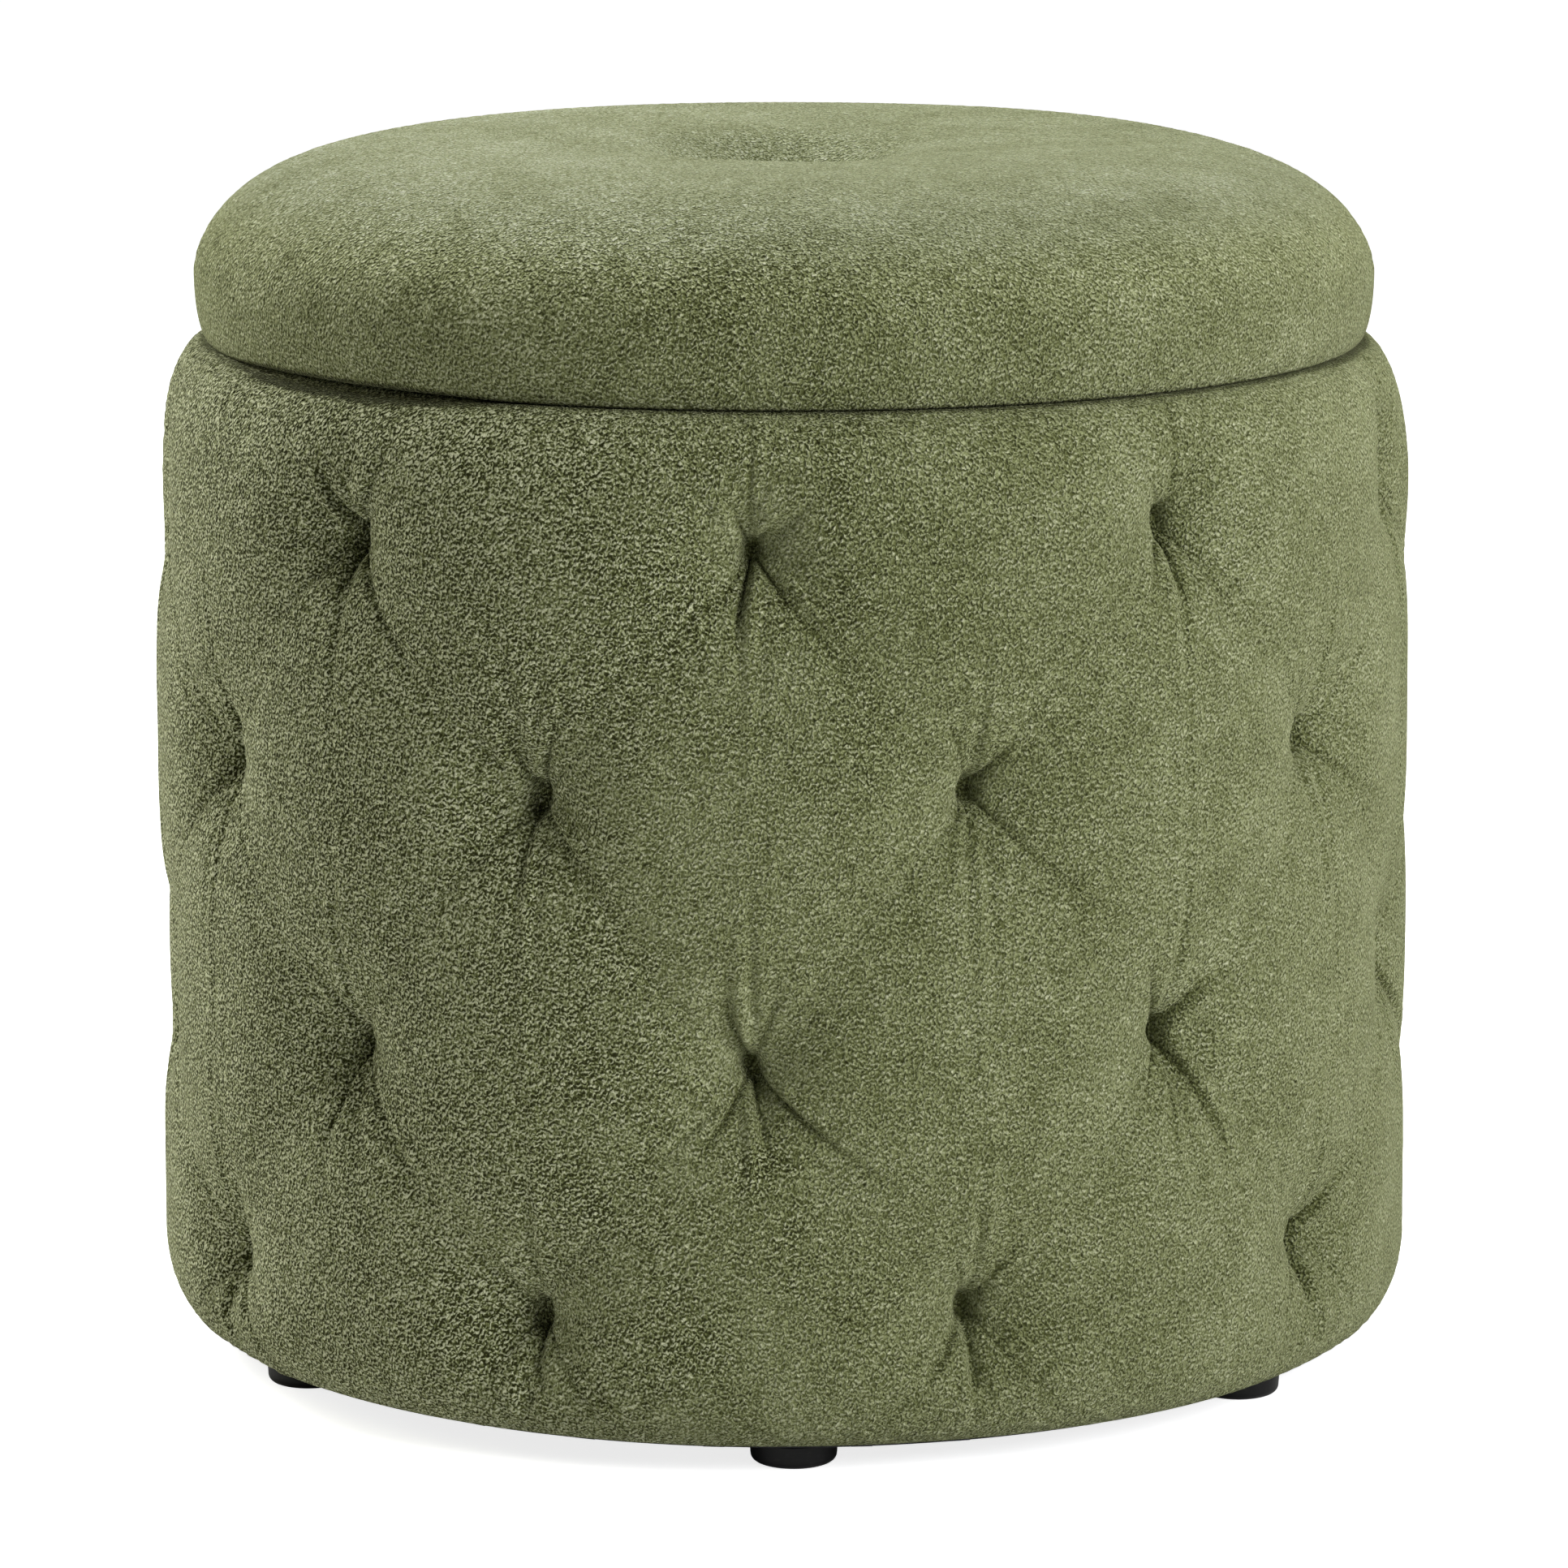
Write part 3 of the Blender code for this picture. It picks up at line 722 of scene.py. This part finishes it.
def fleece():
    """Curly short pile: pale fibre tips over dark gaps, in worms about a millimetre wide.

    The dark gaps, and the lit and the shaded side of each curl, are painted shade and light:
    strongest on the left of the drum, less towards the right and on the lid, least on its top.
    The folds and the seam are painted dark as shade.
    """
    f = Finish("fleece", Sheen_Weight=0.40, Sheen_Roughness=0.35,
               Sheen_Tint=(0.85, 0.89, 0.52, 1.0), Specular_IOR_Level=0.05)
    # Curls: noise whose place is itself shoved about, and a painted lit and shaded side on each
    # curl, as if lit from above left.
    stretched = f.scaled((1.0, 1.0, 0.85))
    shove = f.noise(700.0, stretched, detail=1.0, out="Color")
    shove = f.vector("SUBTRACT", shove, (0.5, 0.5, 0.5))
    shove = f.node("VectorMath", 0, {0: shove, "Scale": 0.0017}, operation="SCALE")
    curly = f.vector("ADD", stretched, shove)
    above = f.vector("ADD", curly, (-0.0002, 0.0, 0.00055))
    worms = f.noise(980.0, curly, detail=0.0)
    painted_relief = f.math("SUBTRACT", worms, f.noise(980.0, above, detail=0.0))
    strand = f.noise(2600.0, curly, detail=0.0)
    height = f.math("MULTIPLY_ADD", worms, 2.5, -0.75)
    height = f.math("ADD", height, f.math("MULTIPLY_ADD", strand, 0.25, -0.125))
    blotch = f.noise(26.0, detail=3.0, rough=0.62, warp=0.4)
    patch = f.noise(110.0, detail=2.0, rough=0.6)

    # Where on the ottoman this is, and how strong the pile's painted light and shade are there.
    spot = f.node("SeparateXYZ", "X", {0: f.place})
    up = f.node("SeparateXYZ", "Z", {0: f.place})
    on_lid = f.smooth(up, LID_Z - 0.001, LID_Z + 0.001)
    on_top = f.smooth(up, LID_TOP - 0.035, LID_TOP - 0.008)
    uneven = f.math("MULTIPLY_ADD", blotch, 0.9, -0.45)
    across_blotched = f.math("ADD", f.math("MULTIPLY", spot, 2.4), uneven)
    relief_shade_amount = f.math("MULTIPLY_ADD", f.smooth(across_blotched, -0.50, 0.10), -0.72, 1.08)
    relief_shade_amount = f.math("MINIMUM", relief_shade_amount, f.math("MULTIPLY_ADD", on_lid, -0.62, 1.08))
    relief_shade_amount = f.math("MULTIPLY", relief_shade_amount, f.math("MULTIPLY_ADD", on_top, -0.35, 1.0))

    # Broad areas lighter or darker at random, and the lid a little darker overall. Painted light
    # and
    # shade: dark in the folds and the seam, darker on the left of the drum where the pile's painted
    # shade is strongest, the lid's top lighter, most at its left, and its sides lighter off the
    # front.
    painted_shade = f.node("Attribute", "Fac", {}, attribute_name="painted_shade")
    to_left = f.math("MULTIPLY_ADD", f.smooth(spot, -0.12, 0.02), -0.050, 0.028)
    aside = f.math("ABSOLUTE", spot)
    off_front = f.math("SUBTRACT", f.smooth(aside, 0.06, 0.17), f.smooth(aside, 0.195, 0.232))
    lid_side = f.math("SUBTRACT", on_lid, on_top)
    blotches_and_painted_light = f.math("ADD", f.math("MULTIPLY_ADD", blotch, 0.34, -0.17),
                 f.math("MULTIPLY_ADD", patch, 0.14, -0.07))
    for where, how_much in ((painted_shade, -0.36), (relief_shade_amount, -0.05), (on_lid, -0.025),
                            (on_top, 0.075), (on_top, to_left),
                            (f.math("MULTIPLY", lid_side, off_front), 0.045)):
        blotches_and_painted_light = f.math("MULTIPLY_ADD", where, how_much, blotches_and_painted_light)

    # Painted light and shade on the pile: dark gaps between the curls, and a lit and a shaded side
    # on each curl, scaled by the amount set above for each place.
    level = f.math("MULTIPLY", f.math("SUBTRACT", height, 0.5), 0.55)
    level = f.math("MULTIPLY_ADD", painted_relief, 2.0, level)
    level = f.math("MULTIPLY_ADD", level, relief_shade_amount, 0.535)
    tone = f.math("ADD", level, blotches_and_painted_light, clamp=True)
    colour = f.ramp(tone, (0.02, (0.026, 0.028, 0.007)), (0.36, (0.108, 0.121, 0.042)),
                    (0.62, (0.255, 0.280, 0.132)), (1.0, (0.57, 0.59, 0.39)))
    # The lid's top painted paler and bluer: a painted sheen.
    colour = f.vector("MULTIPLY", colour, f.ramp(on_top, (0.0, 1.0), (1.0, (1.0, 1.0, 1.22))))
    # Painted shade: the deepest folds and the seam darkened further.
    painted_darkening = f.ramp(f.math("MULTIPLY", painted_shade, 0.5), (0.48, 1.0), (0.95, 0.55))
    colour = f.vector("MULTIPLY", colour, painted_darkening)
    swell = f.bump(f.noise(190.0, detail=2.0), 0.35, 0.0012)
    normal = f.bump(height, 1.0, 0.0010, under=swell)
    roughness = f.math("MULTIPLY_ADD", height, -0.10, 0.98)
    return f.finish(colour, roughness, normal)


def wood(name, dark, light, grain, along, ring_scale):
    """Sawn wood: long grain along one axis with growth bands and pores."""
    f = Finish(name, Specular_IOR_Level=0.3)
    stretch = [1.0, 1.0, 1.0]
    stretch[along] = 0.06
    fibres = f.noise(grain, f.scaled(tuple(stretch)), detail=4.0, rough=0.65, warp=0.6)
    bands = f.noise(ring_scale, f.scaled(tuple(stretch)), detail=2.0, warp=1.2)
    figure = f.math("ADD", f.math("MULTIPLY", fibres, 0.55), f.math("MULTIPLY", bands, 0.45))
    colour = f.ramp(figure, (0.30, dark), (0.62, light))
    return f.finish(colour, f.math("MULTIPLY_ADD", fibres, 0.3, 0.5),
                    f.bump(fibres, 0.35, 0.0004))


def plywood():
    """Round boards: grain on the faces, stacked plies on the edge."""
    f = Finish("plywood", Specular_IOR_Level=0.3)
    fibres = f.noise(900.0, f.scaled((0.05, 1.0, 1.0)), detail=4.0, rough=0.65, warp=0.5)
    broad = f.noise(60.0, f.scaled((0.15, 1.0, 1.0)), detail=3.0, warp=1.5)
    face = f.ramp(f.math("ADD", f.math("MULTIPLY", fibres, 0.5), f.math("MULTIPLY", broad, 0.5)),
                  (0.30, (0.34, 0.215, 0.11)), (0.66, (0.60, 0.43, 0.25)))
    plies = f.node("TexWave", "Fac", {"Vector": f.place, "Scale": 105.0, "Distortion": 0.6,
                                      "Detail": 2.0, "Detail Scale": 60.0},
                   wave_type="BANDS", bands_direction="Z", wave_profile="SIN")
    edge = f.ramp(plies, (0.25, (0.22, 0.13, 0.06)), (0.60, (0.56, 0.40, 0.23)))
    normal_z = f.node("SeparateXYZ", "Z", {0: f.node("NewGeometry", "Normal")})
    flat = f.math("GREATER_THAN", f.math("ABSOLUTE", normal_z), 0.5)
    colour = f.mix(flat, edge, face)
    return f.finish(colour, f.math("MULTIPLY_ADD", fibres, 0.25, 0.55), f.bump(fibres, 0.3, 0.0004))


def board(name, dark, light, scale, bump):
    """Pressed fibre: hardboard or grey card, with stray fibres and soft clouding."""
    f = Finish(name, Specular_IOR_Level=0.3)
    clouds = f.noise(30.0, detail=4.0, rough=0.6)
    flecks = f.noise(scale, f.scaled((1.0, 1.0, 0.25)), detail=3.0, rough=0.7, warp=1.0)
    tone = f.math("ADD", f.math("MULTIPLY", clouds, 0.45), f.math("MULTIPLY", flecks, 0.55))
    return f.finish(f.ramp(tone, (0.34, dark), (0.66, light)),
                    f.math("MULTIPLY_ADD", flecks, 0.25, 0.6), f.bump(flecks, bump, 0.0003))


def non_woven():
    """Spun-bonded black lining with its grid of welded dots and stray fibres."""
    f = Finish("lining", Specular_IOR_Level=0.25, Sheen_Weight=0.15)
    dots = f.node("TexVoronoi", "Distance", {"Vector": f.place, "Scale": 620.0, "Randomness": 0.25})
    fibres = f.noise(2600.0, f.scaled((1.0, 0.35, 0.35)), detail=3.0, rough=0.7, warp=1.5)
    clouds = f.noise(45.0, detail=3.0)
    tone = f.math("ADD", f.math("MULTIPLY", fibres, 0.5), f.math("MULTIPLY", clouds, 0.5))
    tone = f.math("MULTIPLY", tone, f.math("MULTIPLY_ADD", dots, 0.7, 0.62))
    height = f.math("ADD", f.math("MULTIPLY", dots, 0.8), f.math("MULTIPLY", fibres, 0.4))
    return f.finish(f.ramp(tone, (0.22, (0.010, 0.010, 0.011)), (0.62, (0.052, 0.052, 0.056))),
                    f.math("MULTIPLY_ADD", dots, 0.3, 0.62), f.bump(height, 0.6, 0.0004))


def foot_plastic():
    """Black moulded plastic: fine spark texture, dust and light scuffs low down."""
    f = Finish("foot_plastic", Specular_IOR_Level=0.30)
    grain = f.noise(2200.0, detail=2.0)
    scuff = f.noise(240.0, f.scaled((1.0, 1.0, 4.0)), detail=5.0, rough=0.7)
    worn = f.ramp(scuff, (0.52, 0.0), (0.74, 1.0))
    colour = f.mix(worn, (0.005, 0.005, 0.005), (0.018, 0.018, 0.017))
    rough = f.math("ADD", f.math("MULTIPLY_ADD", grain, 0.16, 0.34), f.math("MULTIPLY", worn, 0.12))
    return f.finish(colour, rough, f.bump(grain, 0.25, 0.0002))


def steel():
    """Zinc-plated wire and screws: faint drawn lines and dull patches."""
    f = Finish("screw_steel", Metallic=1.0)
    lines = f.noise(3000.0, f.scaled((1.0, 1.0, 0.2)), detail=2.0)
    patches = f.noise(400.0, detail=3.0)
    return f.finish(f.ramp(patches, (0.3, (0.42, 0.42, 0.44)), (0.7, (0.66, 0.66, 0.68))),
                    f.math("MULTIPLY_ADD", lines, 0.3, 0.22), f.bump(lines, 0.2, 0.0001))


def twine():
    """Twisted waxed cord."""
    f = Finish("twine", Sheen_Weight=0.2)
    twist = f.node("TexWave", "Fac", {"Vector": f.place, "Scale": 260.0, "Distortion": 1.5,
                                      "Detail": 2.0}, wave_type="BANDS", bands_direction="DIAGONAL")
    return f.finish(f.ramp(twist, (0.2, (0.22, 0.20, 0.13)), (0.8, (0.55, 0.51, 0.38))),
                    f.math("MULTIPLY_ADD", twist, 0.2, 0.65), f.bump(twist, 0.6, 0.0004))


# ---- build ---------------------------------------------------------------------------------------
MATERIALS = {
    "fleece": fleece(),
    "plywood": plywood(),
    "hardboard": board("hardboard", (0.10, 0.052, 0.025), (0.26, 0.15, 0.075), 900.0, 0.3),
    "pine": wood("pine", (0.42, 0.27, 0.13), (0.70, 0.52, 0.31), 700.0, 2, 55.0),
    "card": board("card", (0.24, 0.21, 0.165), (0.42, 0.385, 0.32), 1400.0, 0.2),
    "lining": non_woven(),
    "foot_plastic": foot_plastic(),
    "screw_steel": steel(),
    "twine": twine(),
    "foam": board("foam", (0.60, 0.54, 0.38), (0.82, 0.76, 0.58), 1600.0, 0.8),
}

make_drum()
make_lid()
for foot in FEET:
    make_foot(foot)
make_wall_lining()
disc_sheet("lining_floor", "floor_lining", "base", 0.0004, 5, face_down=False)
disc_sheet("dust_sheet", "dust_cover", "base", 0.0003, 6, face_down=True)
disc_sheet("liner_sheet", "lid_liner", "lid", 0.0003, 8, face_down=True)
make_staples("base_staples", DUST_R - 0.002, DUST_LOW, 30, "base")
make_staples("liner_staples", LINER_R - 0.004, LINER_LOW, 26, "lid")

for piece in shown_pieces():
    if piece.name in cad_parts:
        finish = MATERIALS[piece.material_slots[0].material.name.split(".")[0]]
        for material_slot in piece.material_slots:
            material_slot.material = finish
    else:
        piece.data.materials.append(MATERIALS[piece["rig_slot"]])


# ---- floor, light and camera ---------------------------------------------------------------------
def make_floor(name, glows):
    """A wide white floor; one that glows is a little darker near the object."""
    size = 30.0
    mesh = bpy.data.meshes.new(name)
    mesh.from_pydata([(-size, -size, 0), (size, -size, 0), (size, size, 0), (-size, size, 0)], [],
                     [(0, 1, 2, 3)])
    obj = bpy.data.objects.new(name, mesh)
    bpy.context.collection.objects.link(obj)
    f = Finish(name, Roughness=0.9, Specular_IOR_Level=0.1,
               Emission_Strength=1.0 if glows else 0.0)
    clouds = f.noise(3.0, detail=2.0)
    if glows:
        away = f.node("VectorMath", "Value", {0: f.place}, operation="LENGTH")
        shine = f.ramp(away, (0.24, 0.80), (0.36, 0.95), (0.8, 1.0))
        f.tree.links.new(shine, f.shader.inputs["Emission Color"])
    mesh.materials.append(f.finish(f.ramp(clouds, (0.3, 0.88), (0.7, 0.90))))
    return obj


def area_light(name, place, size, power, colour=(1.0, 1.0, 1.0)):
    light = bpy.data.lights.new(name, "AREA")
    light.size, light.energy, light.color = size, power, colour
    obj = bpy.data.objects.new(name, light)
    obj.location = place
    obj.rotation_euler = (Vector((0, 0, 0.25)) - Vector(place)).to_track_quat("-Z", "Y").to_euler()
    bpy.context.collection.objects.link(obj)


def light_studio():
    """Soft boxes: right of the camera, overhead, a weak one at the left and one behind it."""
    area_light("key", (1.7, -1.5, 1.3), 1.1, 46.5, (0.98, 0.98, 1.0))
    area_light("top", (0.1, 0.2, 2.3), 1.6, 43)
    area_light("left", (-1.9, 0.2, 1.1), 1.2, 11, (1.0, 0.97, 0.80))
    area_light("back_left", (-1.6, 1.4, 1.5), 1.2, 56)
    world = bpy.data.worlds.new("studio")
    world.use_nodes = True
    backdrop = world.node_tree.nodes["Background"]
    backdrop.inputs["Color"].default_value = (1.0, 1.0, 1.0, 1.0)
    backdrop.inputs["Strength"].default_value = 1.0
    world.cycles_visibility.diffuse = False
    bpy.context.scene.world = world
    bpy.context.scene.view_settings.view_transform = "Standard"


# The floor that is seen glows a little, so that it stays white far off; the one under it only
# sends the studio's light back up.
seen_floor = make_floor("floor_seen", glows=True)
seen_floor.visible_diffuse = seen_floor.visible_glossy = seen_floor.visible_shadow = False
seen_floor.location.z = 0.00002
bounce_floor = make_floor("floor_bounce", glows=False)
bounce_floor.visible_camera = False
light_studio()

CAMERA_DISTANCE, CAMERA_HEIGHT, CAMERA_PITCH = 2.90, 0.780, 0.1903
camera_data = bpy.data.cameras.new("camera")
camera_data.lens, camera_data.sensor_width = 167.5, 36.0
camera = bpy.data.objects.new("camera", camera_data)
camera.location = (0.0, -CAMERA_DISTANCE, CAMERA_HEIGHT)
camera.rotation_euler = (math.pi / 2 - CAMERA_PITCH, 0.0, 0.0)
bpy.context.collection.objects.link(camera)
bpy.context.scene.camera = camera
